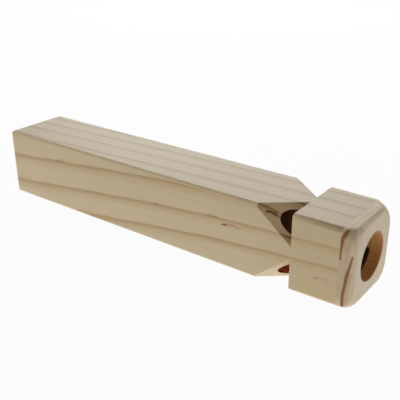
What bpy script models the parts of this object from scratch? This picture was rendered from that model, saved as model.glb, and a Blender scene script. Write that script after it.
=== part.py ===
"""A four-tone wooden train whistle: a drilled pine block, four dowel plugs and a glued mouthpiece cap.

Units are metres. +X points to the mouth end, +Z is up, and the origin is at the middle of the underside.
The player blows into the hole in the cap. The air spreads in the round breath chamber behind it into the front ends
of the four bores, passes the flat on each plug, and is cut by the sharp lip where a sloping notch in the block's edge
breaks into the bore.
Each bore is a stopped pipe, so its drilled depth sets its note.
"""

import math

import bmesh
import bpy
from mathutils import Vector

# The block and its cap
LENGTH = 0.200
SECTION = 0.035
CAP_THICKNESS = 0.0065
GLUE_FILM = 0.0003
REAR_ROUND = 0.0008
BODY_EDGE_ROUND = 0.0010
MOUTH_EDGE_ROUND = 0.0024
CAP_ROUND_DEPTH = 0.0062
CAP_ROUND_INSET = 0.0028
CAP_CORNER_ROUND = 0.0100
MOUTH_HOLE_DIAMETER = 0.0212

# The breath chamber, where the drill that made the hole in the cap went on into the front of the block
CHAMBER_DEPTH = 0.0045

# The bores, one in the middle of each quarter of the section
BORE_DIAMETER = 0.0127
BORE_PITCH = SECTION / 2
DRILL_POINT_ANGLE = math.radians(118)
DRILL_TIP_RADIUS = 0.0004

# The notches, cut across the block's four long edges
NOTCH_WALL_FROM_MOUTH = 0.0277
NOTCH_LENGTH = 0.018
NOTCH_LEG = 0.0145

# The plugs that leave a windway between their flat and the bore
PLUG_LENGTH = 0.014
PLUG_CHAMFER = 0.0004
WINDWAY_HEIGHT = 0.0012

# The notes, as a stopped pipe sounds them: a chord of minor thirds
SPEED_OF_SOUND = 343.0
END_CORRECTION = 0.008
CORNERS = {
    "top_front": {"side": -1, "up": 1, "note_hz": 523.25},
    "bottom_front": {"side": -1, "up": -1, "note_hz": 622.25},
    "top_back": {"side": 1, "up": 1, "note_hz": 739.99},
    "bottom_back": {"side": 1, "up": -1, "note_hz": 880.00},
}

# How finely the round forms are divided, as steps in a quarter turn
EDGE_STEPS = 4
BORE_STEPS = 12
MOUTH_STEPS = 16
CAP_ROUND_STEPS = 7

# How far a cutter reaches past the surface that it cuts
CUTTER_MARGIN = 0.004

# Points this close are one, and edges that turn more than this are sharp
WELD_DISTANCE = 1e-6
SHARP_ANGLE = math.radians(30)

# Places that follow from the sizes
MOUTH_X = LENGTH / 2
REAR_X = -LENGTH / 2
CAP_BACK_X = MOUTH_X - CAP_THICKNESS
BLOCK_FRONT_X = CAP_BACK_X - GLUE_FILM
NOTCH_WALL_X = MOUTH_X - NOTCH_WALL_FROM_MOUTH
NOTCH_START_X = NOTCH_WALL_X - NOTCH_LENGTH
HALF = SECTION / 2
MIDDLE_Z = HALF
BORE_RADIUS = BORE_DIAMETER / 2
PLUG_RADIUS = BORE_RADIUS - GLUE_FILM

PINE = {"color": (0.66, 0.55, 0.37), "roughness": 0.62}
CAP_PINE = {"color": (0.70, 0.58, 0.42), "roughness": 0.60}
BEECH = {"color": (0.62, 0.42, 0.26), "roughness": 0.68}


def clear_scene():
    for obj in list(bpy.data.objects):
        bpy.data.objects.remove(obj)


def wood(name, color, roughness):
    material = bpy.data.materials.new(name)
    material.use_nodes = True
    shader = material.node_tree.nodes["Principled BSDF"]
    shader.inputs["Base Color"].default_value = (*color, 1)
    shader.inputs["Roughness"].default_value = roughness
    shader.inputs["Metallic"].default_value = 0
    return material


def link_mesh(name, bm, material=None):
    """Turns a bmesh into an object that is smooth on its round faces and sharp at its corners."""
    bmesh.ops.recalc_face_normals(bm, faces=bm.faces)
    mesh = bpy.data.meshes.new(name)
    bm.to_mesh(mesh)
    bm.free()
    mesh.shade_smooth()
    mesh.set_sharp_from_angle(angle=SHARP_ANGLE)
    obj = bpy.data.objects.new(name, mesh)
    bpy.context.scene.collection.objects.link(obj)
    if material:
        mesh.materials.append(material)
    return obj


def rounded_square(half, radius, steps):
    """Points (y, z) round a square of that half width. With radius equal to half it is a circle."""
    points = []
    for quarter in range(4):
        middle = math.radians(45 + 90 * quarter)
        corner_y = math.copysign(half - radius, math.cos(middle))
        corner_z = math.copysign(half - radius, math.sin(middle))
        for step in range(steps + 1):
            turn = math.radians(90) * (quarter + step / steps)
            points.append((corner_y + radius * math.cos(turn), corner_z + radius * math.sin(turn)))
    return points


def loft(stations, steps):
    """A closed bmesh along X through rounded squares, each given as (x, half width, corner radius)."""
    bm = bmesh.new()
    rings = []
    for x, half, radius in stations:
        points = rounded_square(half, radius, steps)
        rings.append([bm.verts.new((x, y, z)) for y, z in points])
    for ring, following in zip(rings, rings[1:]):
        for i in range(len(ring)):
            j = (i + 1) % len(ring)
            bm.faces.new((ring[i], ring[j], following[j], following[i]))
    bm.faces.new(rings[0])
    bm.faces.new(rings[-1])
    bmesh.ops.remove_doubles(bm, verts=bm.verts, dist=WELD_DISTANCE)
    return bm


def cut(obj, cutters):
    """Cuts each cutter's shape out of the object's mesh, so that the new edges can be marked sharp."""
    for cutter in cutters:
        modifier = obj.modifiers.new("cut_" + cutter.name, "BOOLEAN")
        modifier.operation = "DIFFERENCE"
        modifier.object = cutter
    graph = bpy.context.evaluated_depsgraph_get()
    mesh = bpy.data.meshes.new_from_object(obj.evaluated_get(graph))
    mesh.set_sharp_from_angle(angle=SHARP_ANGLE)
    obj.modifiers.clear()
    obj.data = mesh
    for cutter in cutters:
        bpy.data.objects.remove(cutter)


def round_cutter(name, diameter, start_x, end_x):
    """A cylinder along the middle of the block."""
    radius = diameter / 2
    cutter = link_mesh(name, loft([(x, radius, radius) for x in (start_x, end_x)], MOUTH_STEPS))
    cutter.location.z = MIDDLE_Z
    return cutter


def bore_depth(note_hz):
    """How far the bore runs behind the notch wall, so that a stopped pipe of that length sounds the note."""
    return SPEED_OF_SOUND / (4 * note_hz) - END_CORRECTION


def bore_centre(corner):
    return Vector((0, corner["side"] * BORE_PITCH / 2, MIDDLE_Z + corner["up"] * BORE_PITCH / 2))


def bore_cutter(name, corner):
    """A drill's own shape, from the front of the block to the point at the bottom of the bore."""
    bottom_x = NOTCH_WALL_X - bore_depth(corner["note_hz"])
    point_length = (BORE_RADIUS - DRILL_TIP_RADIUS) / math.tan(DRILL_POINT_ANGLE / 2)
    stations = (
        (bottom_x - point_length, DRILL_TIP_RADIUS, DRILL_TIP_RADIUS),
        (bottom_x, BORE_RADIUS, BORE_RADIUS),
        (BLOCK_FRONT_X + CUTTER_MARGIN, BORE_RADIUS, BORE_RADIUS),
    )
    cutter = link_mesh("bore_" + name, loft(stations, BORE_STEPS))
    cutter.location = bore_centre(corner)
    return cutter


def notch_cutter(name, corner):
    """A wedge with an upright wall on the mouth side and a ramp that meets the block's edge at NOTCH_START_X."""
    margin = CUTTER_MARGIN
    apex_x = NOTCH_START_X - 2 * margin * NOTCH_LENGTH / NOTCH_LEG
    # Each point is x, then how far it lies inside the block's side and inside its top or underside.
    points = (
        (apex_x, -margin, -margin),
        (NOTCH_WALL_X, -margin, -margin),
        (NOTCH_WALL_X, NOTCH_LEG + margin, -margin),
        (NOTCH_WALL_X, -margin, NOTCH_LEG + margin),
    )
    bm = bmesh.new()
    for x, from_side, from_top in points:
        bm.verts.new((x, corner["side"] * (HALF - from_side), corner["up"] * (HALF - from_top)))
    bmesh.ops.convex_hull(bm, input=bm.verts)
    cutter = link_mesh("notch_" + name, bm)
    cutter.location.z = MIDDLE_Z
    return cutter


def body_stations():
    """The block from its rounded rear end, with its long edges eased further at the mouth end."""
    stations = []
    for step in range(EDGE_STEPS + 1):
        turn = math.radians(90) * step / EDGE_STEPS
        inset = REAR_ROUND * (1 - math.sin(turn))
        x = REAR_X + REAR_ROUND * (1 - math.cos(turn))
        stations.append((x, HALF - inset, BODY_EDGE_ROUND - inset))
    stations.append((NOTCH_WALL_X, HALF, BODY_EDGE_ROUND))
    stations.append((BLOCK_FRONT_X, HALF, MOUTH_EDGE_ROUND))
    return stations


def make_body(material):
    body = link_mesh("whistle_body", loft(body_stations(), EDGE_STEPS), material)
    body.location.z = MIDDLE_Z
    chamber_floor_x = BLOCK_FRONT_X - CHAMBER_DEPTH
    cutters = [round_cutter("breath_chamber", MOUTH_HOLE_DIAMETER, chamber_floor_x, BLOCK_FRONT_X + CUTTER_MARGIN)]
    for name, corner in CORNERS.items():
        cutters.append(bore_cutter(name, corner))
        cutters.append(notch_cutter(name, corner))
    cut(body, cutters)
    return body


def cap_stations():
    """The cap from its glued face, rounded over on all four front edges, with rounder corners towards the lips."""
    stations = [(CAP_BACK_X, HALF, MOUTH_EDGE_ROUND)]
    for step in range(CAP_ROUND_STEPS + 1):
        turn = math.radians(90) * step / CAP_ROUND_STEPS
        share = 1 - math.cos(turn)
        x = MOUTH_X - CAP_ROUND_DEPTH * (1 - math.sin(turn))
        corner = MOUTH_EDGE_ROUND + (CAP_CORNER_ROUND - MOUTH_EDGE_ROUND) * share
        stations.append((x, HALF - CAP_ROUND_INSET * share, corner))
    return stations


def make_cap(material):
    cap = link_mesh("mouthpiece_cap", loft(cap_stations(), EDGE_STEPS), material)
    cap.location.z = MIDDLE_Z
    cut(cap, [round_cutter("mouth_hole", MOUTH_HOLE_DIAMETER, CAP_BACK_X - CUTTER_MARGIN, MOUTH_X + CUTTER_MARGIN)])
    return cap


def plug_mesh(material):
    """A dowel along X with chamfered ends and a flat planed on its +Z side."""
    stations = (
        (0, PLUG_RADIUS - PLUG_CHAMFER, PLUG_RADIUS - PLUG_CHAMFER),
        (PLUG_CHAMFER, PLUG_RADIUS, PLUG_RADIUS),
        (PLUG_LENGTH - PLUG_CHAMFER, PLUG_RADIUS, PLUG_RADIUS),
        (PLUG_LENGTH, PLUG_RADIUS - PLUG_CHAMFER, PLUG_RADIUS - PLUG_CHAMFER),
    )
    bm = loft(stations, BORE_STEPS)
    flat_height = Vector((0, 0, BORE_RADIUS - WINDWAY_HEIGHT))
    planed = bmesh.ops.bisect_plane(
        bm,
        geom=bm.verts[:] + bm.edges[:] + bm.faces[:],
        plane_co=flat_height,
        plane_no=(0, 0, 1),
        clear_outer=True,
    )
    cut_edges = [item for item in planed["geom_cut"] if isinstance(item, bmesh.types.BMEdge)]
    bmesh.ops.edgeloop_fill(bm, edges=cut_edges)
    obj = link_mesh("fipple_plug", bm, material)
    mesh = obj.data
    bpy.data.objects.remove(obj)
    return mesh


def make_plugs(material):
    """One plug behind each notch wall, turned so that its flat faces the block's nearest edge."""
    mesh = plug_mesh(material)
    plugs = []
    for name, corner in CORNERS.items():
        plug = bpy.data.objects.new("fipple_plug_" + name, mesh)
        bpy.context.scene.collection.objects.link(plug)
        plug.location = bore_centre(corner)
        plug.location.x = NOTCH_WALL_X
        plug.rotation_euler.x = math.atan2(-corner["side"], corner["up"])
        plugs.append(plug)
    return plugs


def main():
    clear_scene()
    whistle = bpy.data.objects.new("train_whistle", None)
    bpy.context.scene.collection.objects.link(whistle)
    body = make_body(wood("pine_block", **PINE))
    cap = make_cap(wood("pine_cap", **CAP_PINE))
    plugs = make_plugs(wood("beech_dowel", **BEECH))
    for piece in (body, cap, *plugs):
        piece.parent = whistle


main()
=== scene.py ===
# %% [markdown]
# # A wooden train whistle
#
# The whistle is a square block of pine with four blind bores drilled into one end. A sloping notch across
# each long edge opens a bore, a dowel plug in each bore leaves a thin slot for the breath, and a rounded
# cap with a blow hole closes the end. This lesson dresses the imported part: it keeps the part's sizes,
# models every piece again with finer rounding, and gives each one its own wood.

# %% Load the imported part
import functools
import math

import bmesh
import bpy
from mathutils import Matrix, Vector


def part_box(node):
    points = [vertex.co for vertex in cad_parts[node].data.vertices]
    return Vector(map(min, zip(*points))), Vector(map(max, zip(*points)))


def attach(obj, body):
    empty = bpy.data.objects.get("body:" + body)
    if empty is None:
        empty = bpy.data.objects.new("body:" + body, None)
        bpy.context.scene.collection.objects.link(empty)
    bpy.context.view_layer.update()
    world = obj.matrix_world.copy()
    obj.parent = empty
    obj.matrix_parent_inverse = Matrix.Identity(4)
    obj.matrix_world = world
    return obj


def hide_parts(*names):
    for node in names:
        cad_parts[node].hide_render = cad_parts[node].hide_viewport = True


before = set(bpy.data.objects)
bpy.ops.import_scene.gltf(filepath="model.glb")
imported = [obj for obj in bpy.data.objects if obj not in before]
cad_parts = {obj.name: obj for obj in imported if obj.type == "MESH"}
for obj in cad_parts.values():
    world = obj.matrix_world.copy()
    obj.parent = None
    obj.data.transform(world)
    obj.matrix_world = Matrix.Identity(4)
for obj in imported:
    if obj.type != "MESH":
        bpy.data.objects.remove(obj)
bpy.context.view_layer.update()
print("pieces in the packed part:", ", ".join(sorted(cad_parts)))

# %% [markdown]
# ## Sizes
#
# A maker would take these sizes off the bench with a ruler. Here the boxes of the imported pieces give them:
# where the cap starts, where the plugs stand, how wide the bores are. Only what a box can't tell, such as a
# film of glue or a rounding, is a number of its own. All lengths are in metres.

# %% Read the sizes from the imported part
MM = 0.001
GLUE_LINE = 0.00003
PLUG_GAP = 0.0003

block_low, block_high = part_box("whistle_body")
cap_low, cap_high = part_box("mouthpiece_cap")
plug_low, plug_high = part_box("fipple_plug_top_front")

HALF = (block_high.z - block_low.z) / 2
MIDDLE_Z = block_low.z + HALF
REAR_X = block_low.x
CAP_BACK_X, MOUTH_X = cap_low.x, cap_high.x
BLOCK_FRONT_X = CAP_BACK_X - GLUE_LINE
NOTCH_WALL_X = plug_low.x
PLUG_LENGTH = plug_high.x - plug_low.x
PLUG_RADIUS = (plug_high.z - plug_low.z) / 2
BORE_RADIUS = PLUG_RADIUS + PLUG_GAP
BORE_OFFSET = (plug_high.z + plug_low.z) / 2 - MIDDLE_Z
print(f"block {2 * HALF / MM:.1f} mm square, bores {2 * BORE_RADIUS / MM:.1f} mm wide")
print(f"notch wall at {NOTCH_WALL_X / MM:.1f} mm, mouth at {MOUTH_X / MM:.1f} mm")

# %% [markdown]
# ## The camera
#
# The camera stands where the photographer's stood: to the right of the middle, a little above the block,
# with a short telephoto lens. It could be aimed by eye with a constraint. One matrix says it all instead
# and needs no update: turn the camera about the upright axis, tip it down, roll it by a trace, and step
# back from the target.

# %% Place the camera
VIEW_TURN = math.radians(36.979)
VIEW_HEIGHT = math.radians(24.614)
VIEW_ROLL = math.radians(-0.202)
VIEW_TARGET = Vector((0.01363, 0, 0.01877))
VIEW_DISTANCE = 0.3088
LENS_MM = 58.85
NEAREST_SEEN = 0.01

camera = bpy.data.objects.new("photo_camera", bpy.data.cameras.new("photo_camera"))
camera.data.lens = LENS_MM
camera.data.clip_start = NEAREST_SEEN
turned = Matrix.Rotation(VIEW_TURN, 4, "Z") @ Matrix.Rotation(math.pi / 2 - VIEW_HEIGHT, 4, "X")
turned = turned @ Matrix.Rotation(VIEW_ROLL, 4, "Z")
camera.matrix_world = Matrix.Translation(VIEW_TARGET) @ turned @ Matrix.Translation((0, 0, VIEW_DISTANCE))
bpy.context.scene.collection.objects.link(camera)
bpy.context.scene.camera = camera
print("camera at", [round(v, 3) for v in camera.matrix_world.translation])

# %% [markdown]
# ## Shader helpers
#
# A wood pattern is arithmetic on the place of a point in the block, and every step of it is a node. Written
# out node by node it would be hard to read, so a small class lets Python's own signs make the Math nodes:
# `0.5 * x + y` adds two nodes and links them.

# %% Make shader arithmetic readable


class Field:
    """A value that changes over a surface. Arithmetic on it adds Math nodes to its material."""

    def __init__(self, socket):
        self.socket = socket
        self.tree = socket.id_data

    def math(self, operation, *others):
        return math_node(self.tree, operation, self, *others)

    def __add__(self, other):
        return self.math("ADD", other)

    def __sub__(self, other):
        return self.math("SUBTRACT", other)

    def __mul__(self, other):
        return self.math("MULTIPLY", other)

    def __truediv__(self, other):
        return self.math("DIVIDE", other)

    def __rsub__(self, other):
        return math_node(self.tree, "SUBTRACT", other, self)

    __radd__ = __add__
    __rmul__ = __mul__


def fill(socket, value):
    """Links a field to a socket, or sets a plain value on it."""
    if isinstance(value, Field):
        value.tree.links.new(value.socket, socket)
    else:
        socket.default_value = value


def add_node(tree, kind, values=(), **options):
    """Adds a node with its options, and fills its inputs, each by its name or number, with values."""
    node = tree.nodes.new(kind)
    for option, choice in options.items():
        setattr(node, option, choice)
    for slot, value in dict(values).items():
        fill(node.inputs[slot], value)
    return node


def math_node(tree, operation, *values):
    node = add_node(tree, "ShaderNodeMath", enumerate(values), operation=operation)
    return Field(node.outputs[0])


def vector_node(tree, operation, *values, output=0):
    node = add_node(tree, "ShaderNodeVectorMath", enumerate(values), operation=operation)
    return Field(node.outputs[output])


print("fields and nodes ready")

# %% [markdown]
# Three more helpers do what a painter does all the time: fade from one place to another, mix two colours,
# and make a colour lighter or darker. Map Range, Mix and Vector Math nodes have these built in.

# %% Fade, mix and scale colours


def ease(field, start, end):
    """Runs smoothly from 0, where the field is at start, to 1, where it is at end."""
    values = {"Value": field, "From Min": start, "From Max": end}
    node = add_node(field.tree, "ShaderNodeMapRange", values, interpolation_type="SMOOTHSTEP")
    return Field(node.outputs[0])


def blend(share, first, second):
    """Mixes two colours, with share 0 for the first and 1 for the second."""
    values = {0: share, 6: first, 7: second}
    return Field(add_node(share.tree, "ShaderNodeMix", values, data_type="RGBA").outputs[2])


def scaled(vector, factor):
    """A vector or colour times a number."""
    node = add_node(factor.tree, "ShaderNodeVectorMath", {0: vector, "Scale": factor}, operation="SCALE")
    return Field(node.outputs[0])


def new_material(name):
    material = bpy.data.materials.new(name)
    material.use_nodes = True
    return material


print("colour helpers ready")

# %% [markdown]
# ## The studio
#
# Small goods are often shot on a glowing table: the light comes up from the white table and down from a
# large soft box high behind, with little from the lens's side. So the top is the brightest face, the front
# is lit from below, and the bores and the upper notches stay dark. Only the table near the whistle gives
# light, as a light box does.
#
# The floor and the world show plain white to the camera and to reflections and keep their own level for
# everything else, so the white never comes from more light on the wood. A small share of the floor's look
# is real paper, and keeps a trace of the whistle's shadow.

# %% Set up the white world and the glowing table
WHITE = (1, 1, 1, 1)
PAPER = (0.92, 0.92, 0.92, 1)
PAPER_SHARE = 0.05
TENT_LEVEL = 0.05
TABLE_LEVEL = 1.34
TABLE_GLOW = (0.48, 0.32)
FLOOR_SIZE = 4
FLOOR_GAP = 0.0001


def seen_directly(tree):
    """1 for rays from the camera, from reflections and through glass, and 0 for rays that carry light."""
    path = add_node(tree, "ShaderNodeLightPath")
    rays = [Field(path.outputs[name]) for name in ("Is Camera Ray", "Is Glossy Ray", "Is Transmission Ray")]
    return rays[0].math("MAXIMUM", rays[1]).math("MAXIMUM", rays[2])


def build_world():
    world = bpy.data.worlds.new("light_tent")
    world.use_nodes = True
    tree = world.node_tree
    background = tree.nodes["Background"]
    background.inputs["Color"].default_value = WHITE
    fill(background.inputs["Strength"], TENT_LEVEL + seen_directly(tree) * (1 - TENT_LEVEL))
    bpy.context.scene.world = world


def floor_paper():
    material = new_material("floor_paper")
    tree = material.node_tree
    tree.nodes.remove(tree.nodes["Principled BSDF"])
    place = Field(add_node(tree, "ShaderNodeTexCoord").outputs["Object"])
    near = ease(vector_node(tree, "LENGTH", place, output=1), *TABLE_GLOW)
    direct = seen_directly(tree)
    strength = direct + near * (1 - direct) * TABLE_LEVEL
    glow = add_node(tree, "ShaderNodeEmission", {"Color": WHITE, "Strength": strength})
    paper = add_node(tree, "ShaderNodeBsdfDiffuse", {"Color": PAPER})
    values = {0: PAPER_SHARE, 1: Field(glow.outputs[0]), 2: Field(paper.outputs[0])}
    mixed = add_node(tree, "ShaderNodeMixShader", values)
    tree.links.new(mixed.outputs[0], tree.nodes["Material Output"].inputs["Surface"])
    return material


bpy.context.scene.view_settings.view_transform = "Standard"
build_world()
floor_mesh = bmesh.new()
floor_place = Matrix.Translation((0, 0, block_low.z - FLOOR_GAP))
bmesh.ops.create_grid(floor_mesh, size=FLOOR_SIZE, matrix=floor_place)
floor = bpy.data.objects.new("floor", bpy.data.meshes.new("floor"))
floor_mesh.to_mesh(floor.data)
floor_mesh.free()
floor.data.materials.append(floor_paper())
bpy.context.scene.collection.objects.link(floor)
print("table glows within", TABLE_GLOW[0], "m of the whistle")

# %% [markdown]
# Three soft boxes light the wood: a large one behind and above, a weak one at the mouth, and a weak fill
# from the front. Blender gives an area light's power in watts, which says little about how bright a surface
# gets. So each box is given by the level it makes on a surface that faces it, and the power follows from
# its distance.

# %% Hang the soft boxes
BOX_DISTANCE = 0.9
SOFT_BOXES = (
    ("back_softbox", (-0.45, 0.70, 0.55), 0.66, 0.70),
    ("mouth_softbox", (0.70, 0.35, 0.62), 0.14, 0.55),
    ("fill_softbox", (-0.55, -0.70, 0.45), 0.24, 0.55),
)


def add_softbox(name, direction, level, size):
    """An area light that gives a surface facing it that level: at 1 a colour renders as it is written."""
    lamp = bpy.data.lights.new(name, "AREA")
    lamp.size = size
    lamp.energy = math.pi ** 2 * BOX_DISTANCE ** 2 * level
    softbox = bpy.data.objects.new(name, lamp)
    softbox.location = VIEW_TARGET + Vector(direction).normalized() * BOX_DISTANCE
    softbox.rotation_euler = Vector(direction).to_track_quat("Z", "Y").to_euler()
    bpy.context.scene.collection.objects.link(softbox)


for values in SOFT_BOXES:
    add_softbox(*values)
print("studio lit by", len(SOFT_BOXES), "soft boxes")

# %% [markdown]
# ## Pine, as a solid
#
# Pine shows a ring for every year: soft pale wood in spring that darkens slowly to a hard amber line in
# late summer and then starts again. A picture of grain would break at the block's edges. A solid pattern
# runs through the block instead, so one ring shows as a line on the front, turns over the edge and goes on
# across the top. A point's ring number is worked out from its place: whole numbers are the dark lines.

# %% Give every point of a piece its place, its fibres and its ring's colour


def place_in_piece(tree):
    """The place of a point in the piece, and its three parts."""
    position = Field(add_node(tree, "ShaderNodeTexCoord").outputs["Object"])
    parts = add_node(tree, "ShaderNodeSeparateXYZ", {0: position})
    return position, [Field(output) for output in parts.outputs]


def noise(position, stretch, detail=2.0):
    """Noise from 0 to 1 whose grains are as long as stretch says along X, Y and Z, in metres."""
    place = vector_node(position.tree, "DIVIDE", position, stretch)
    node = add_node(position.tree, "ShaderNodeTexNoise", {"Vector": place, "Scale": 1.0, "Detail": detail})
    return Field(node.outputs[0])


def ring_colours(ring, early, shoulder, late):
    """Spring wood that darkens slowly towards the late line and then starts pale again."""
    node = add_node(ring.tree, "ShaderNodeValToRGB", {0: ring.math("FRACT")})
    stops = node.color_ramp.elements
    stops[0].position, stops[0].color = 0.0, shoulder
    stops[1].position, stops[1].color = 1.0, late
    for share, colour in ((0.07, early), (0.58, early), (0.84, shoulder), (0.95, late)):
        stops.new(share).color = colour
    return Field(node.outputs[0])


print("wood helpers ready")

# %% [markdown]
# Bare sanded wood is satin: a broad dull gloss, and a faint pale sheen from the ends of loose fibres, which
# the shader's sheen gives. All the pieces share this finish. Their fibres vary the roughness and the colour
# a little and are the bump as well, so that gloss, tone and relief agree.

# %% Set the finish of bare wood
BARE_WOOD = {
    "Specular IOR Level": 0.30,
    "Sheen Weight": 0.26,
    "Sheen Roughness": 0.4,
    "Sheen Tint": WHITE,
}
SANDED_ROUGHNESS = 0.52
SAWN_ROUGHNESS = 0.72
FIBRE_GLOSS = 0.12
FIBRE_TONE = 0.12
PATCH_RELIEF = 0.4
SANDED_RELIEF = 0.00012
SAWN_RELIEF = 0.0001


def toned(colour, fibres, patches):
    """Lets the fibres and the broader patches make a colour lighter and darker."""
    return scaled(colour, (1 - FIBRE_TONE) + FIBRE_TONE * fibres + FIBRE_TONE * patches)


def finish_wood(material, colour, fibres, relief, roughness=SANDED_ROUGHNESS, depth=SANDED_RELIEF):
    """Sets the shared finish. The relief, from 0 to about 1, is as deep as depth says."""
    tree = material.node_tree
    shader = tree.nodes["Principled BSDF"]
    for socket, value in BARE_WOOD.items():
        shader.inputs[socket].default_value = value
    fill(shader.inputs["Base Color"], colour)
    fill(shader.inputs["Roughness"], roughness - FIBRE_GLOSS * fibres)
    bump = add_node(tree, "ShaderNodeBump", {"Strength": 1.0, "Distance": depth, "Height": relief})
    tree.links.new(bump.outputs[0], shader.inputs["Normal"])


print("sanded wood has a roughness of", SANDED_ROUGHNESS, "less up to", FIBRE_GLOSS)

# %% [markdown]
# ## The block's rings
#
# On the front of the block the rings run almost along it and rise slowly towards the mouth, and on the top
# they stand closer together. So the ring number grows with height above a gently bent layer and with depth
# from the front. Short polynomials describe the bend and the rings' widths: a tree has no formula, but a
# few terms follow it closely.

# %% Lay the block's rings
LAYER_HEIGHT = (0.0198, 0.1067, -0.295, -1.91)
UPPER_RING_WIDTH = (0.01275, -0.0179)
LOWER_RING_WIDTH = (0.01158, -0.0311)
RINGS_BY_DEPTH = (8.95, 85.5, 600)
MOUTH_LIFT_X = 0.075
MOUTH_LIFT = 0.03
RING_WANDER = 0.10
WANDER_SIZE = (0.022, 0.006, 0.006)
PLAIN_BELOW = 7.3


def polynomial(x, terms):
    """The first term, plus the second times x, plus the third times x squared, and so on."""
    total = terms[-1]
    for term in reversed(terms[:-1]):
        total = total * x + term
    return total


def block_rings(position, x, y, z):
    """The ring number at a point of the block. Below the last ring that shows, the wood is plain."""
    lift = (x - MOUTH_LIFT_X).math("MAXIMUM", 0.0) * MOUTH_LIFT
    above = z - (polynomial(x, LAYER_HEIGHT) + lift)
    upper = above.math("MAXIMUM", 0.0) / polynomial(x, UPPER_RING_WIDTH)
    lower = above.math("MINIMUM", 0.0) / polynomial(x, LOWER_RING_WIDTH)
    wander = noise(position, WANDER_SIZE) * RING_WANDER
    rings = upper + lower + polynomial(y + HALF, RINGS_BY_DEPTH) + wander
    return rings.math("MAXIMUM", PLAIN_BELOW)


print(f"rings on the front are {UPPER_RING_WIDTH[0] / MM:.1f} mm apart at the middle of the block")

# %% [markdown]
# ## Marks in the wood
#
# Pine is never clean: it has dark pitch pockets, red streaks beside them, and yellow and orange stains.
# Each mark is a short bent streak with soft edges. It could be painted on a picture, but a streak worked
# out from its distance to a line needs no unwrapping and stays sharp. A mark lists its stops, the softness
# of its edges, its strength and its colour. A stop is a place and half the streak's width there. Stops and
# softness are in millimetres.

# %% Draw streaks and stains


def streak(position, start, end, softness):
    """1 along a straight streak between two stops, and 0 away from it."""
    tree = position.tree
    start_place, end_place = Vector(start[:3]) * MM, Vector(end[:3]) * MM
    run = end_place - start_place
    offset = vector_node(tree, "SUBTRACT", position, start_place)
    share = vector_node(tree, "DOT_PRODUCT", offset, run / run.length_squared, output=1)
    share = share.math("MAXIMUM", 0.0).math("MINIMUM", 1.0)
    distance = vector_node(tree, "DISTANCE", offset, scaled(run, share), output=1)
    half_width = MM * (start[3] + share * (end[3] - start[3]))
    return ease(distance - half_width, softness * MM, 0.0)


def marks_and_painted_light(position, colour, marks):
    """Lays marks over a colour, one after the other: stains, and some painted light and shade."""
    for stops, softness, strength, mark_colour in marks:
        pieces = [streak(position, start, end, softness) for start, end in zip(stops, stops[1:])]
        mask = functools.reduce(lambda first, second: first.math("MAXIMUM", second), pieces)
        colour = blend(mask * strength, colour, mark_colour)
    return colour


print("marks are drawn in units of", MM, "m")

# %% [markdown]
# The block's marks are on its front, on the upper front edge at the mouth, where a brown band is painted
# shade, and on the upper notch's ramp, where a pitch pocket was cut open and left a dark bent line.

# %% List the block's marks
PITCH = (0.09, 0.035, 0.005, 1)
RED_STAIN = (0.33, 0.15, 0.07, 1)
ORANGE_STAIN = (0.48, 0.28, 0.10, 1)
YELLOW_STAIN = (0.50, 0.37, 0.12, 1)
OLIVE_STAIN = (0.21, 0.12, 0.03, 1)
TAN_STAIN = (0.56, 0.30, 0.12, 1)
# Brown of the painted shade on the upper front edge at the mouth.
EDGE_SHADE_BROWN = (0.40, 0.23, 0.11, 1)
front_marks = (
    (((38.4, -17.5, 20.4, 0.1), (40.5, -17.5, 20.8, 0.3)), 0.4, 0.85, PITCH),
    (((40.5, -17.5, 20.8, 0.3), (44.0, -17.5, 21.6, 0.2), (47.5, -17.5, 21.1, 0.0)), 0.6, 0.55, RED_STAIN),
    (((31.2, -17.5, 22.8, 0.2), (35.8, -17.5, 23.2, 0.2)), 1.0, 0.45, RED_STAIN),
    (((-65.5, -17.5, 26.1, 0.2), (-60.0, -17.5, 26.7, 0.2)), 1.0, 0.45, RED_STAIN),
    (((-58.5, -17.5, 26.9, 0.3), (-53.0, -17.5, 27.4, 0.3)), 1.2, 0.45, YELLOW_STAIN),
    (((-98.5, -17.5, 8.8, 0.4), (-88.5, -17.5, 10.2, 0.2)), 1.6, 0.40, ORANGE_STAIN),
    (((-52.0, -17.5, 0.8, 0.6), (-30.0, -17.5, 3.2, 0.4)), 1.6, 0.55, ORANGE_STAIN),
    (((0.5, -17.5, 19.9, 0.1), (1.8, -17.5, 20.1, 0.1)), 0.6, 0.50, PITCH),
)
mouth_marks = (
    (((83.8, -17.5, 10.2, 0.1), (84.8, -17.5, 10.4, 0.1)), 0.6, 0.34, PITCH),
    (((85.0, -17.5, 10.6, 0.1), (90.5, -17.5, 10.8, 0.0)), 0.9, 0.18, RED_STAIN),
    (((78.0, -17.5, 2.2, 0.6), (92.0, -17.5, 4.0, 0.6)), 2.2, 0.24, YELLOW_STAIN),
    # Painted shade: a brown band along the upper front edge at the mouth.
    (((73.0, -15.9, 34.9, 0.3), (93.0, -15.4, 34.9, 0.5)), 0.9, 0.40, EDGE_SHADE_BROWN),
)
ramp_marks = (
    (((55.8, -17.2, 34.2, 0.3), (57.4, -16.8, 33.2, 0.3)), 0.8, 0.50, TAN_STAIN),
    (((55.6, -16.5, 34.7, 0.2), (58.0, -15.4, 34.1, 0.2), (59.6, -14.7, 33.6, 0.1)), 0.5, 0.80, OLIVE_STAIN),
    (((59.6, -14.7, 33.6, 0.2), (61.9, -14.0, 32.4, 0.2)), 0.7, 0.35, RED_STAIN),
    (((62.4, -13.9, 32.1, 0.1), (63.6, -13.8, 31.2, 0.2), (64.9, -13.8, 30.2, 0.2)), 0.5, 0.80, OLIVE_STAIN),
    (
        (
            (59.6, -16.1, 32.1, 0.2), (60.5, -15.4, 32.1, 0.3), (61.5, -15.0, 31.8, 0.2),
            (62.6, -14.6, 31.2, 0.3), (63.5, -14.4, 30.8, 0.2), (64.6, -14.2, 29.9, 0.1),
        ),
        0.5, 0.97, PITCH,
    ),
)
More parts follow.
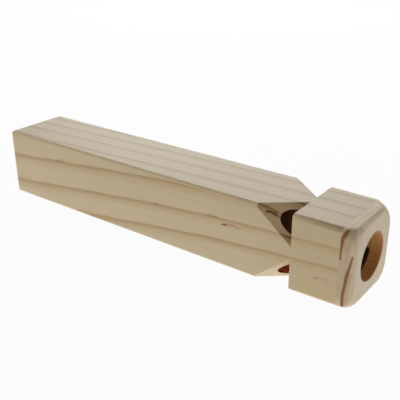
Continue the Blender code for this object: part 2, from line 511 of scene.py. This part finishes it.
block_marks = front_marks + mouth_marks + ramp_marks
print("block has", len(block_marks), "marks")

# %% [markdown]
# ## Where the tools went, and painted light and shade
#
# The drills burn the walls of the bores brown, leave a pale lip round them, and tear the fibres in the
# breath chamber. The bores' walls carry painted light and shade as well: brighter in the lower bores, darker
# in the upper ones and near black beyond the plugs. The long upper edges get a pale band of painted light,
# where their rounding would be in shade. The block is one solid pattern, so these places are found by
# distance: from the axis of the hole, from the axis of a bore, and from the corner of the section. Folding
# the block over its middle with an absolute value makes one bore of the four. A pair of numbers says where a
# mask starts and where it is full.

# %% Find the drilled and the worn places
HOLE_RADIUS = 0.0106
CHAMBER_SKIN = (0.0003, 0.0001)
CHAMBER_FROM = (0.0865, 0.0875)
BORE_SKIN = (0.00006, 0.00002)
LIP_REACH = (0.0012, 0.0002)
REAR_SKIN = (0.004, 0.006)
# Where the painted light on the long upper edges reaches and how strong it is: a pale band where their
# rounding would be in shade.
EDGE_LIGHT_REACH = (0.0015, 0.0009)
MOUTH_EDGE_LIGHT_FROM = (0.060, 0.080)
EDGE_LIGHT_SHARE = 0.85
LESS_AT_MOUTH = 0.25


def from_axis(across, up):
    """The distance from a line along X, worked out from its two parts."""
    return (across * across + up * up).math("SQRT")


def inside_chamber(x, y, z):
    """1 on the wall and the floor of the breath chamber."""
    return ease(from_axis(y, z - MIDDLE_Z) - HOLE_RADIUS, *CHAMBER_SKIN) * ease(x, *CHAMBER_FROM)


def near_bores(x, y, z):
    """Two masks: 1 on the walls of the bores, and 1 on their lips. Neither reaches the rear end."""
    across, up = [part.math("ABSOLUTE") - BORE_OFFSET for part in (y, z - MIDDLE_Z)]
    outside = from_axis(across, up) - BORE_RADIUS
    clear_of_rear = ease(x - REAR_X, *REAR_SKIN)
    return ease(outside, *BORE_SKIN) * clear_of_rear, ease(outside, *LIP_REACH) * clear_of_rear


def painted_edge_light(x, y, z):
    """How much painted light lightens the long upper edges, where their rounding would be in shade; a little
    less at the mouth.
    """
    from_corner = HALF - y.math("ABSOLUTE") + (block_high.z - z)
    return ease(from_corner, *EDGE_LIGHT_REACH) * (EDGE_LIGHT_SHARE - LESS_AT_MOUTH * ease(x, *MOUTH_EDGE_LIGHT_FROM))


print(f"hole {2 * HOLE_RADIUS / MM:.1f} mm wide, lips {LIP_REACH[0] / MM:.1f} mm")

# %% [markdown]
# ## The block's wood
#
# One board looks different on every cut. Planed along the fibres it is pale with soft lines, and on the
# front near the mouth it is painted a little browner, as painted shade. Cut across the fibres, as in the
# notches and at the rear, the rings turn dark. So each kind of surface gets a small recipe of its own, and
# the mask that finds the surface picks the recipe.

# %% Colour each kind of surface
PLANED_RINGS = ((0.562, 0.445, 0.272, 1), (0.505, 0.376, 0.208, 1), (0.415, 0.280, 0.132, 1))
# Painted shade: the front of the block a little browner towards the mouth.
FRONT_SHADE_WOOD = (0.455, 0.340, 0.168, 1)
FRONT_SHADE_ALONG, FRONT_SHADE_ACROSS = (0.045, 0.085), (-0.010, -HALF)
FRONT_SHADE_SHARE = 0.40
CUT_RINGS = ((0.590, 0.390, 0.200, 1), (0.455, 0.262, 0.113, 1), (0.170, 0.065, 0.020, 1))
LOWER_CUT = (0.590, 0.437, 0.243, 1)
LOWER_CUT_BELOW = (0.022, 0.010)
TORN_FIBRES, TORN_PITS = (0.46, 0.31, 0.15, 1), (0.10, 0.05, 0.02, 1)
PIT_SIZE = (0.0007, 0.0007, 0.0007)
PIT_LEVELS = (0.55, 0.68)
PIT_SHARE = 0.8
# Drill burn with painted light and shade: the lower bores painted brighter as painted light, the upper ones
# darker and the far part beyond the plugs near black as painted shade.
LOWER_BURN_LIT, UPPER_BURN_SHADED = (0.80, 0.36, 0.12, 1), (0.48, 0.29, 0.17, 1)
UPPER_BURN_SHADED_ABOVE = (0.014, 0.020)
DEEP_BORE_SHADE = (0.06, 0.025, 0.01, 1)
DEEP_BORE_SHADE_FROM = (0.0800, 0.0860)


def end_grain(tree):
    """1 where a surface faces along X, across the fibres, and 0 where it runs along them."""
    facing = Field(add_node(tree, "ShaderNodeTexCoord").outputs["Normal"])
    return Field(add_node(tree, "ShaderNodeSeparateXYZ", {0: facing}).outputs[0]).math("ABSOLUTE")


def planed_wood(rings, x, y):
    # Painted shade: the front turns a little browner towards the mouth.
    front_shade = ease(x, *FRONT_SHADE_ALONG) * ease(y, *FRONT_SHADE_ACROSS)
    return blend(front_shade * FRONT_SHADE_SHARE, ring_colours(rings, *PLANED_RINGS), FRONT_SHADE_WOOD)


def cut_wood(rings, z):
    """Wood cut across the fibres. In the lower notches its rings don't show."""
    return blend(ease(z, *LOWER_CUT_BELOW), ring_colours(rings, *CUT_RINGS), LOWER_CUT)


def torn_wood(position):
    pits = ease(noise(position, PIT_SIZE), *PIT_LEVELS)
    return blend(pits * PIT_SHARE, TORN_FIBRES, TORN_PITS)


def burn_and_painted_light(x, z):
    """The walls of the bores, burnt brown, with painted light and shade: brighter and redder in the lower
    ones, darker in the upper ones, and near black beyond the plugs.
    """
    burn_light_and_shade = blend(ease(z, *UPPER_BURN_SHADED_ABOVE), LOWER_BURN_LIT, UPPER_BURN_SHADED)
    return blend(ease(x, *DEEP_BORE_SHADE_FROM), burn_light_and_shade, DEEP_BORE_SHADE)


print("the block has 4 kinds of surface: planed, cut, torn and burnt")

# %% [markdown]
# Put together, the layers follow the order of the work: the board, its marks, the painted light on the
# long upper edges, and then what the drills did, with the painted light and shade on the bores' walls. Fine
# fibres along X break up the colour, show as dots where the notches cut across them, and give the bump.

# %% Put the block's wood together
FINE_DETAIL = 3.0
BLOCK_FIBRES = (0.020, 0.0005, 0.0005)
BLOCK_BANDS = (0.060, 0.0022, 0.0022)
END_GRAIN_TURN = (0.15, 0.60)
# The pale colour of the painted light on the long upper edges.
EDGE_PAINTED_LIGHT = (0.80, 0.62, 0.37, 1)
BORE_LIP = (0.60, 0.49, 0.34, 1)
LIP_SHARE = 0.5


def block_pine():
    material = new_material("pine_block")
    tree = material.node_tree
    position, (x, y, z) = place_in_piece(tree)
    rings = block_rings(position, x, y, z)
    fibres = noise(position, BLOCK_FIBRES, FINE_DETAIL)
    bands = noise(position, BLOCK_BANDS)
    colour = blend(ease(end_grain(tree), *END_GRAIN_TURN), planed_wood(rings, x, y), cut_wood(rings, z))
    colour = marks_and_painted_light(position, toned(colour, fibres, bands), block_marks)
    # Painted light: a pale band along the long upper edges, where their rounding would be in shade.
    colour = blend(painted_edge_light(x, y, z), colour, EDGE_PAINTED_LIGHT)
    colour = blend(inside_chamber(x, y, z), colour, torn_wood(position))
    inside, lip = near_bores(x, y, z)
    colour = blend(lip * LIP_SHARE, colour, BORE_LIP)
    # The bores' walls: drill burn, with painted light in the lower bores and painted shade in the upper ones
    # and beyond the plugs.
    colour = blend(inside, colour, burn_and_painted_light(x, z))
    finish_wood(material, colour, fibres, fibres + PATCH_RELIEF * bands)
    return material


pine_for_block = block_pine()
print("block's wood has", len(pine_for_block.node_tree.nodes), "nodes")

# %% [markdown]
# ## The block
#
# On the bench the block is sawn square, eased along its edges with sandpaper, drilled and notched. A cube
# with a bevel would do for a block of one rounding, but this one is rounder at the mouth than at the rear.
# So rounded squares stand along X like the ribs of a boat, and bridge_loops skins them pair by pair.

# %% Make outlines and skin them
CORNER_STEPS = 8
ROUND_STEPS = 96


def upright(x):
    """Stands a flat shape across the block, at that place along it."""
    return Matrix.Translation((x, 0, MIDDLE_Z)) @ Matrix.Rotation(math.pi / 2, 4, "Y")


def rounded_outline(bm, x, insets, radii, steps=CORNER_STEPS, side_cuts=0):
    """The edges of the block's square with rounded corners.

    The insets are for its front, back, lower and upper side, and the radii for its lower front, lower back,
    upper back and upper front corner.
    """
    front, back, lower, upper = insets
    left, right = front - HALF, HALF - back
    bottom, top = block_low.z + lower, block_high.z - upper
    places = ((left, bottom), (right, bottom), (right, top), (left, top))
    corners = [bm.verts.new((x, y, z)) for y, z in places]
    bm.faces.new(corners)
    for corner, radius in zip(corners, radii):
        rounded = bmesh.ops.bevel(
            bm, geom=[corner], offset=radius, affect="VERTICES", segments=steps, profile=0.5, material=-1
        )
    face = rounded["verts"][0].link_faces[0]
    sides = sorted(face.edges, key=lambda edge: edge.calc_length())[-4:]
    bmesh.ops.subdivide_edges(bm, edges=sides, cuts=side_cuts)
    edges = list(face.edges)
    bmesh.ops.delete(bm, geom=[face], context="FACES_ONLY")
    return edges


def disc_edge(bm, x, radius):
    """The edges of a circle across X."""
    made = bmesh.ops.create_circle(bm, segments=ROUND_STEPS, radius=radius, matrix=upright(x))
    return list({edge for vert in made["verts"] for edge in vert.link_edges})


def skin(bm, outlines):
    """Joins each outline to the next and closes both ends."""
    for outline, following in zip(outlines, outlines[1:]):
        bmesh.ops.bridge_loops(bm, edges=outline + following)
    for end in (outlines[0], outlines[-1]):
        bmesh.ops.edgeloop_fill(bm, edges=end)
    bmesh.ops.recalc_face_normals(bm, faces=bm.faces)


def make_object(name, bm, material=None):
    mesh = bpy.data.meshes.new(name)
    bm.to_mesh(mesh)
    bm.free()
    obj = bpy.data.objects.new(name, mesh)
    bpy.context.scene.collection.objects.link(obj)
    if material:
        mesh.materials.append(material)
    return obj


print("outlines have", 4 * (CORNER_STEPS + 1), "points, circles", ROUND_STEPS)

# %% [markdown]
# The block itself needs few outlines: some for the small rounding at the rear, one at the notch wall, and
# one at the mouth, where its edges were sanded rounder together with the cap.

# %% Skin the block
EDGE_ROUND = 0.0016
REAR_ROUND = 0.0008
MOUTH_EDGE_ROUND = 0.0024
REAR_STEPS = 5

block_bm = bmesh.new()
block_outlines = []
for step in range(REAR_STEPS + 1):
    turn = math.pi / 2 * step / REAR_STEPS
    inset = REAR_ROUND * (1 - math.sin(turn))
    x = REAR_X + REAR_ROUND * (1 - math.cos(turn))
    block_outlines.append(rounded_outline(block_bm, x, [inset] * 4, [EDGE_ROUND - inset] * 4))
for x, radius in ((NOTCH_WALL_X, EDGE_ROUND), (BLOCK_FRONT_X, MOUTH_EDGE_ROUND)):
    block_outlines.append(rounded_outline(block_bm, x, [0] * 4, [radius] * 4))
skin(block_bm, block_outlines)
block = make_object("whistle_block", block_bm, pine_for_block)
print("block has", len(block.data.polygons), "faces before the cuts")

# %% [markdown]
# ## The cuts
#
# Each bore is a stopped pipe, so its depth sets its note: a quarter of the sound's wavelength, less a
# little for the open end. The drill's point leaves a cone at the bottom. A cutter is the tool's own shape,
# skinned from circles, and reaches past the wood by a margin, so that no two faces lie in one plane where
# they meet.

# %% Shape the drills
MARGIN = 0.004
SPEED_OF_SOUND = 343.0
END_CORRECTION = 0.008
DRILL_HALF_ANGLE = math.radians(59)
DRILL_TIP_RADIUS = 0.0004
CORNERS = {
    "top_front": (-1, 1, 523.25),
    "bottom_front": (-1, -1, 622.25),
    "top_back": (1, 1, 739.99),
    "bottom_back": (1, -1, 880.00),
}


def pipe_length(note_hz):
    return SPEED_OF_SOUND / (4 * note_hz) - END_CORRECTION


def drill(name, side, up, note_hz):
    """A drill's own shape, from the point at the bottom of the bore to past the front of the block."""
    bottom_x = NOTCH_WALL_X - pipe_length(note_hz)
    tip_x = bottom_x - (BORE_RADIUS - DRILL_TIP_RADIUS) / math.tan(DRILL_HALF_ANGLE)
    bm = bmesh.new()
    skin(bm, [
        disc_edge(bm, tip_x, DRILL_TIP_RADIUS),
        disc_edge(bm, bottom_x, BORE_RADIUS),
        disc_edge(bm, BLOCK_FRONT_X + MARGIN, BORE_RADIUS),
    ])
    bmesh.ops.translate(bm, verts=bm.verts, vec=(0, side * BORE_OFFSET, up * BORE_OFFSET))
    return make_object("drill_" + name, bm)


def round_cutter(name, radius, start_x, end_x):
    bm = bmesh.new()
    skin(bm, [disc_edge(bm, start_x, radius), disc_edge(bm, end_x, radius)])
    return make_object(name, bm)


print("pipes in mm:", ", ".join(f"{pipe_length(note_hz) / MM:.1f}" for _, _, note_hz in CORNERS.values()))

# %% [markdown]
# A notch is two saw cuts: one straight down at the plug, and one sloping in from the side until they meet.
# What falls out is a wedge with four corners, so its cutter is the convex hull of four points.

# %% Shape the notch saw
NOTCH_LENGTH = 0.018
NOTCH_LEG = 0.0145


def notch_saw(name, side, up):
    """A wedge with an upright wall on the mouth side and a ramp that runs out at the block's edge."""
    ramp_start = NOTCH_WALL_X - NOTCH_LENGTH - 2 * MARGIN * NOTCH_LENGTH / NOTCH_LEG
    deep, clear = HALF - NOTCH_LEG - MARGIN, HALF + MARGIN
    bm = bmesh.new()
    for x, y, z in (
        (ramp_start, clear, clear),
        (NOTCH_WALL_X, clear, clear),
        (NOTCH_WALL_X, deep, clear),
        (NOTCH_WALL_X, clear, deep),
    ):
        bm.verts.new((x, side * y, MIDDLE_Z + up * z))
    bmesh.ops.convex_hull(bm, input=bm.verts)
    bmesh.ops.recalc_face_normals(bm, faces=bm.faces)
    return make_object("notch_" + name, bm)


print(f"notches {NOTCH_LENGTH / MM:.1f} mm long and {NOTCH_LEG / MM:.1f} mm deep")

# %% [markdown]
# The cuts are Boolean modifiers, because they cut round bores through sloping ramps exactly, which no bmesh
# operator does. They are made final at once, and the cutters are thrown away, so that only the block stays
# in the scene.

# %% Cut the block
CHAMBER_DEPTH = 0.0048


def cut(piece, cutters):
    """Cuts the cutters' shapes out of the piece for good, and throws the cutters away."""
    for cutter in cutters:
        boolean = piece.modifiers.new("cut", "BOOLEAN")
        boolean.object = cutter
    graph = bpy.context.evaluated_depsgraph_get()
    mesh = bpy.data.meshes.new_from_object(piece.evaluated_get(graph))
    piece.modifiers.clear()
    piece.data = mesh
    for cutter in cutters:
        bpy.data.objects.remove(cutter)


block_cutters = [round_cutter("chamber", HOLE_RADIUS, CAP_BACK_X - CHAMBER_DEPTH, CAP_BACK_X + MARGIN)]
for name, (side, up, note_hz) in CORNERS.items():
    block_cutters.append(drill(name, side, up, note_hz))
    block_cutters.append(notch_saw(name, side, up))
cut(block, block_cutters)
print("block has", len(block.data.polygons), "faces after", len(block_cutters), "cuts")

# %% [markdown]
# A saw leaves crisp edges, but never perfectly sharp ones: they are broken by a stroke of sandpaper, and
# that thin line catches the light. Only the outer edges of the notches are beveled. Their inner corners
# stay as the saw left them, and the lips of the bores stay sharp, as a whistle needs them.

# %% Break the notches' edges
EDGE_BREAK = 0.00025
EDGE_BREAK_STEPS = 3
SHARP_TURN = math.radians(32)
MERGE_DISTANCE = 1e-6


def break_edges(piece, chosen_by, width, steps):
    """Rounds the edges that chosen_by picks, and says how many there were."""
    bm = bmesh.new()
    bm.from_mesh(piece.data)
    bmesh.ops.remove_doubles(bm, verts=bm.verts, dist=MERGE_DISTANCE)
    edges = [edge for edge in bm.edges if chosen_by(edge)]
    bmesh.ops.bevel(bm, geom=edges, offset=width, affect="EDGES", segments=steps, profile=0.5, material=-1)
    bmesh.ops.remove_doubles(bm, verts=bm.verts, dist=MERGE_DISTANCE)
    bm.to_mesh(piece.data)
    bm.free()
    return len(edges)


def on_bore(vert):
    """True for a point of a bore's wall."""
    across = abs(vert.co.y) - BORE_OFFSET
    up = abs(vert.co.z - MIDDLE_Z) - BORE_OFFSET
    return math.hypot(across, up) < BORE_RADIUS + MERGE_DISTANCE


def is_saw_edge(edge):
    """True for an outer edge that the notch saw left sharp."""
    if len(edge.link_faces) != 2 or not edge.is_convex or edge.calc_face_angle() < SHARP_TURN:
        return False
    if all(on_bore(vert) for vert in edge.verts):
        return False
    return all(vert.co.x < NOTCH_WALL_X + MERGE_DISTANCE for vert in edge.verts)


broken = break_edges(block, is_saw_edge, EDGE_BREAK, EDGE_BREAK_STEPS)
print("broke", broken, "edges of the block")

# %% [markdown]
# Every piece is finished in the same way. Smooth shading rounds the many small faces of a rounding, the
# sharp edges are kept sharp, and weighted normals keep the large flat faces flat. Then the piece takes the
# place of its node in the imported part. Nothing on a whistle moves, so all the pieces ride on one body.

# %% Finish the block


def finish_piece(piece, slot, *nodes):
    """Smooths the roundings, keeps the flats flat, and puts the piece in its CAD node's place."""
    piece.data.shade_smooth()
    piece.data.set_sharp_from_angle(angle=SHARP_TURN)
    flats = piece.modifiers.new("flat_faces", "WEIGHTED_NORMAL")
    flats.keep_sharp = True
    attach(piece, "root")
    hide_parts(*nodes)


finish_piece(block, "pine_block", "whistle_body")
print("finished", block.name, "with", len(block.data.polygons), "faces")

# %% [markdown]
# ## The cap's wood
#
# The cap is a thin plate from another board, so it has rings of its own. They are layers across the plate:
# only its upper edge cuts through several of them, which shows as fine lines along that edge, and the front
# lies within one layer. Its high edges carry pale bands of painted light, where their rounding would be in
# shade, and a grey band on the side rounding and a darker patch at the upper front corner are painted
# shade. A knot near the board's edge left two dark bent streaks on the side.

# %% List the cap's marks
# The first three colours are painted light and shade: pale bands on the high edges, a grey band on the side
# rounding and a darker patch at the upper front corner.
CAP_EDGE_LIGHT = (0.90, 0.71, 0.46, 1)
SIDE_ROUNDING_SHADE = (0.46, 0.345, 0.230, 1)
FRONT_CORNER_SHADE = (0.42, 0.30, 0.155, 1)
HALO_ORANGE = (0.46, 0.30, 0.15, 1)
KNOT_BROWN = (0.215, 0.075, 0.002, 1)
cap_marks = (
    # Painted light: pale bands on the top crease, the upper edge and the corner, where the rounding would be
    # in shade.
    (((99.4, -11.0, 34.4, 0.3), (99.7, 11.0, 34.2, 0.3)), 0.9, 0.95, CAP_EDGE_LIGHT),
    (((93.6, -15.8, 34.8, 0.2), (96.2, -14.4, 34.7, 0.2), (98.6, -12.4, 34.6, 0.1)), 0.8, 0.70, CAP_EDGE_LIGHT),
    (((98.3, -13.6, 33.6, 0.5), (98.9, -15.0, 31.0, 0.5)), 1.5, 0.50, CAP_EDGE_LIGHT),
    # Painted shade: a grey band down the cap's side rounding.
    (((95.2, -17.4, 30.0, 1.4), (95.5, -17.4, 20.0, 1.6), (94.8, -17.5, 6.0, 1.0)), 1.6, 0.85, SIDE_ROUNDING_SHADE),
    # Painted shade: a darker patch at the upper front corner of the cap.
    (((96.6, -16.9, 31.4, 0.8), (95.8, -17.4, 28.0, 0.8)), 2.8, 0.70, FRONT_CORNER_SHADE),
    (((98.2, -17.0, 16.0, 0.2), (97.4, -17.2, 9.4, 0.5), (97.2, -17.3, 3.0, 0.5)), 1.3, 0.60, HALO_ORANGE),
    (
        (
            (96.0, -15.3, 34.0, 0.2), (95.5, -16.0, 33.8, 0.4), (95.1, -16.8, 33.2, 0.5),
            (94.8, -17.3, 32.3, 0.6), (94.3, -17.5, 31.0, 0.5), (94.1, -17.5, 29.2, 0.3),
            (94.0, -17.5, 26.0, 0.1), (94.0, -17.5, 22.0, 0.0),
        ),
        0.7, 0.97, KNOT_BROWN,
    ),
    (
        (
            (98.6, -16.9, 24.0, 0.0), (98.0, -17.1, 19.9, 0.1), (97.2, -17.3, 15.7, 0.3),
            (96.8, -17.4, 11.3, 0.2), (96.3, -17.4, 6.8, 0.2), (96.4, -17.4, 2.7, 0.2),
            (96.5, -17.3, 0.6, 0.2),
        ),
        0.8, 0.95, KNOT_BROWN,
    ),
)
print("cap has", len(cap_marks), "marks")

# %% [markdown]
# The wall of the blow hole is cut across the fibres, so the drill left it rough: orange wood with brown
# specks of torn fibres, smoother and redder near the rim. The orange is painted brighter than the wood
# itself, as painted light that bounces round inside the hole, and the far end of the wall's lower half is
# painted dark, as painted shade.

# %% Colour the wall of the blow hole
# The orange of the hole's wall is painted brighter than the wood, as painted light bouncing inside the hole.
HOLE_FIBRES_LIT, HOLE_SPECKS = (0.82, 0.48, 0.165, 1), (0.33, 0.145, 0.035, 1)
SPECK_SIZE = (0.0004, 0.0004, 0.0004)
SPECK_DETAIL = 4.0
SPECK_LEVELS = (0.38, 0.64)
SPECK_SHARE = 0.90
# Painted shade: near black at the far end of the hole wall's lower half.
HOLE_PAINTED_SHADE = (0.030, 0.007, 0.001, 1)
HOLE_SHADE_DEPTH, HOLE_SHADE_BELOW = (0.0048, 0.0056), (0.0158, 0.0144)
LOWER_RIM, UPPER_RIM = (0.58, 0.245, 0.085, 1), (0.60, 0.325, 0.165, 1)
UPPER_RIM_ABOVE = (0.016, 0.026)
RIM_DEPTH = (0.0034, 0.0022)


def hole_wall(position, x, z):
    specks = ease(noise(position, SPECK_SIZE, SPECK_DETAIL), *SPECK_LEVELS)
    torn = blend(specks * SPECK_SHARE, HOLE_FIBRES_LIT, HOLE_SPECKS)
    depth = MOUTH_X - x
    # Painted shade deep in the lower half of the hole.
    deep_shade = ease(depth, *HOLE_SHADE_DEPTH) * ease(z, *HOLE_SHADE_BELOW)
    rim_colour = blend(ease(z, *UPPER_RIM_ABOVE), LOWER_RIM, UPPER_RIM)
    return blend(ease(depth, *RIM_DEPTH), blend(deep_shade, torn, HOLE_PAINTED_SHADE), rim_colour)


print(f"the hole's rim is smoother for {RIM_DEPTH[1] / MM:.1f} mm")

# %% [markdown]
# The cap's fibres stand upright, along Z, so their noise is stretched that way. The rings are layers along
# X, tilted by a trace, and a mask lets them show only on the upper edge.

# %% Put the cap's wood together
CAP_RING_TILT = 0.05
CAP_RING_WIDTH = 0.00245
CAP_RING_X = 0.0964
CAP_RING_WANDER = 0.30
CAP_WANDER_SIZE = (0.03, 0.012, 0.012)
CAP_FIRST_RING = 4.8
CAP_RINGS = ((0.640, 0.495, 0.312, 1), (0.575, 0.430, 0.260, 1), (0.50, 0.355, 0.20, 1))
CAP_PLAIN = (0.598, 0.472, 0.306, 1)
LINES_ABOVE, LINES_BEHIND = (0.0190, 0.0250), (0.0999, 0.0985)
CAP_FIBRES = (0.0005, 0.0005, 0.012)
CAP_MOTTLE = (0.004, 0.003, 0.009)
HOLE_SKIN = (0.0002, 0.0001)


def cap_face(position, x, y, z):
    """Fine lines on the upper edge of the cap, and plain wood elsewhere."""
    wander = noise(position, CAP_WANDER_SIZE) * CAP_RING_WANDER
    rings = (x - CAP_RING_TILT * y - CAP_RING_X) / CAP_RING_WIDTH + wander + CAP_FIRST_RING
    shown = ease(y + z, *LINES_ABOVE) * ease(x, *LINES_BEHIND)
    return blend(shown, CAP_PLAIN, ring_colours(rings, *CAP_RINGS))


def cap_pine():
    material = new_material("pine_cap")
    position, (x, y, z) = place_in_piece(material.node_tree)
    fibres = noise(position, CAP_FIBRES, FINE_DETAIL)
    mottle = noise(position, CAP_MOTTLE)
    colour = marks_and_painted_light(position, toned(cap_face(position, x, y, z), fibres, mottle), cap_marks)
    in_hole = ease(from_axis(y, z - MIDDLE_Z) - HOLE_RADIUS, *HOLE_SKIN)
    colour = blend(in_hole, colour, hole_wall(position, x, z))
    finish_wood(material, colour, fibres, fibres + PATCH_RELIEF * mottle)
    return material


pine_for_cap = cap_pine()
print("cap's wood has", len(pine_for_cap.node_tree.nodes), "nodes")

# %% [markdown]
# ## The cap
#
# The plate is glued on and then sanded round by hand, so that it feels soft at the lips. Hand work is
# uneven: each side goes in over its own depth, by its own amount and with its own fullness, and the upper
# front corner stays the sharpest. One bevel can't do that, so the cap is skinned like the block, from many
# outlines that stand closer together towards the front, where the surface turns fastest.

# %% Skin the cap
CAP_ROUND = {
    "front": (0.0062, 0.0034, 3.0),
    "back": (0.0062, 0.0022, 3.0),
    "lower": (0.0062, 0.0020, 3.0),
    "upper": (0.0027, 0.0015, 2.0),
}
CAP_CORNER_ROUND = 0.0100
CAP_FRONT_CORNER_ROUND = 0.0060
CAP_STEPS = 40
CAP_CORNER_STEPS = 16
CAP_SIDE_CUTS = 12


def sanded_away(x, depth, inset, fullness):
    """How far one side of the cap is sanded back at x: from 0, where its rounding starts, to the inset."""
    along = max(1 - (MOUTH_X - x) / depth, 0)
    return inset * (1 - max(1 - along ** fullness, 0) ** (1 / fullness))


def corner_round(front_round, share):
    """A corner's radius on its way from the block's own to the one at the front of the cap."""
    return MOUTH_EDGE_ROUND + (front_round - MOUTH_EDGE_ROUND) * share


def cap_outline(bm, x):
    insets = [sanded_away(x, *rounding) for rounding in CAP_ROUND.values()]
    along = (x - CAP_BACK_X) / (MOUTH_X - CAP_BACK_X)
    low = corner_round(CAP_CORNER_ROUND, insets[2] / CAP_ROUND["lower"][1])
    high_back = corner_round(CAP_CORNER_ROUND, along)
    high_front = corner_round(CAP_FRONT_CORNER_ROUND, along)
    radii = (low, low, high_back, high_front)
    return rounded_outline(bm, x, insets, radii, CAP_CORNER_STEPS, CAP_SIDE_CUTS)


cap_bm = bmesh.new()
cap_outlines = []
for step in range(CAP_STEPS + 1):
    share = math.sin(math.pi / 2 * step / CAP_STEPS)
    cap_outlines.append(cap_outline(cap_bm, CAP_BACK_X + (MOUTH_X - CAP_BACK_X) * share))
skin(cap_bm, cap_outlines)
cap = make_object("mouth_cap", cap_bm, pine_for_cap)
print("cap has", len(cap.data.polygons), "faces before its hole")

# %% [markdown]
# The blow hole is drilled through the plate, and its rim is broken so that it doesn't scratch. The same two
# helpers do it as on the block, with a rule that picks the rim by its place.

# %% Drill the cap's hole and finish it
RIM_BREAK = 0.0004
RIM_STEPS = 4
RIM_TOLERANCE = 1e-5


def is_rim(edge):
    """True for an edge of the hole's rim, at the front of the cap."""
    for vert in edge.verts:
        from_hole = math.hypot(vert.co.y, vert.co.z - MIDDLE_Z) - HOLE_RADIUS
        if abs(from_hole) > RIM_TOLERANCE or vert.co.x < MOUTH_X - RIM_TOLERANCE:
            return False
    return True


cut(cap, [round_cutter("hole_drill", HOLE_RADIUS, CAP_BACK_X - MARGIN, MOUTH_X + MARGIN)])
broken = break_edges(cap, is_rim, RIM_BREAK, RIM_STEPS)
finish_piece(cap, "pine_cap", "mouthpiece_cap")
print("finished", cap.name, "with", len(cap.data.polygons), "faces and", broken, "edges round its hole")

# %% [markdown]
# ## The plugs
#
# Each plug is a slice of beech dowel with a flat planed on one side. Beech is plain and fine, with short
# dark flecks. The plugs stand deep in the bores, and their far ends are painted dark, as painted shade.
# Stretched noise gives the fibres and the flecks.

# %% Lay the dowel's wood
BEECH_DARK, BEECH_PALE = (0.42, 0.27, 0.16, 1), (0.56, 0.38, 0.23, 1)
BEECH_FLECK = (0.25, 0.13, 0.06, 1)
BEECH_FIBRES = (0.006, 0.0003, 0.0003)
FLECK_SIZE = (0.0016, 0.0002, 0.0002)
FLECK_LEVELS = (0.60, 0.72)
FLECK_SHARE = 0.6
BEECH_FAR_END_SHADE = (0.09, 0.045, 0.02, 1)
FAR_END_SHADE_FROM = 0.010


def dowel_beech():
    material = new_material("beech_dowel")
    position, (x, _, _) = place_in_piece(material.node_tree)
    fibres = noise(position, BEECH_FIBRES, FINE_DETAIL)
    flecks = ease(noise(position, FLECK_SIZE), *FLECK_LEVELS)
    colour = blend(fibres, BEECH_DARK, BEECH_PALE)
    colour = blend(flecks * FLECK_SHARE, colour, BEECH_FLECK)
    # Painted shade: the plug darkens towards its far end, deep in the bore.
    colour = blend(ease(x - NOTCH_WALL_X, FAR_END_SHADE_FROM, PLUG_LENGTH), colour, BEECH_FAR_END_SHADE)
    finish_wood(material, colour, fibres, fibres, SAWN_ROUGHNESS, SAWN_RELIEF)
    return material


beech = dowel_beech()
print("dowel's wood has", len(beech.node_tree.nodes), "nodes")

# %% [markdown]
# The flat leaves the thin windway that sends the breath at the notch's lip. One plug is skinned from
# circles with a small chamfer at both ends, planed with bisect_plane, and set into each bore with its flat
# towards the block's nearest edge.

# %% Make the plugs
PLUG_CHAMFER = 0.0004
WINDWAY_HEIGHT = 0.0012


def plane_flat(bm, outward):
    """Planes the plug down by the windway's height and closes the cut."""
    planed = bmesh.ops.bisect_plane(
        bm,
        geom=bm.verts[:] + bm.edges[:] + bm.faces[:],
        plane_co=Vector((0, 0, MIDDLE_Z)) + outward * (BORE_RADIUS - WINDWAY_HEIGHT),
        plane_no=outward,
        clear_outer=True,
    )
    rim = [part for part in planed["geom_cut"] if isinstance(part, bmesh.types.BMEdge)]
    bmesh.ops.edgeloop_fill(bm, edges=rim)
    bmesh.ops.recalc_face_normals(bm, faces=bm.faces)


def plug(name, side, up):
    bm = bmesh.new()
    ends = (
        (0, PLUG_RADIUS - PLUG_CHAMFER),
        (PLUG_CHAMFER, PLUG_RADIUS),
        (PLUG_LENGTH - PLUG_CHAMFER, PLUG_RADIUS),
        (PLUG_LENGTH, PLUG_RADIUS - PLUG_CHAMFER),
    )
    skin(bm, [disc_edge(bm, NOTCH_WALL_X + x, radius) for x, radius in ends])
    plane_flat(bm, Vector((0, side, up)).normalized())
    bmesh.ops.translate(bm, verts=bm.verts, vec=(0, side * BORE_OFFSET, up * BORE_OFFSET))
    made = make_object("plug_" + name, bm, beech)
    finish_piece(made, "beech_dowel", "fipple_plug_" + name)
    return made


plugs = [plug(name, side, up) for name, (side, up, _) in CORNERS.items()]
print("made", ", ".join(piece.name for piece in plugs))
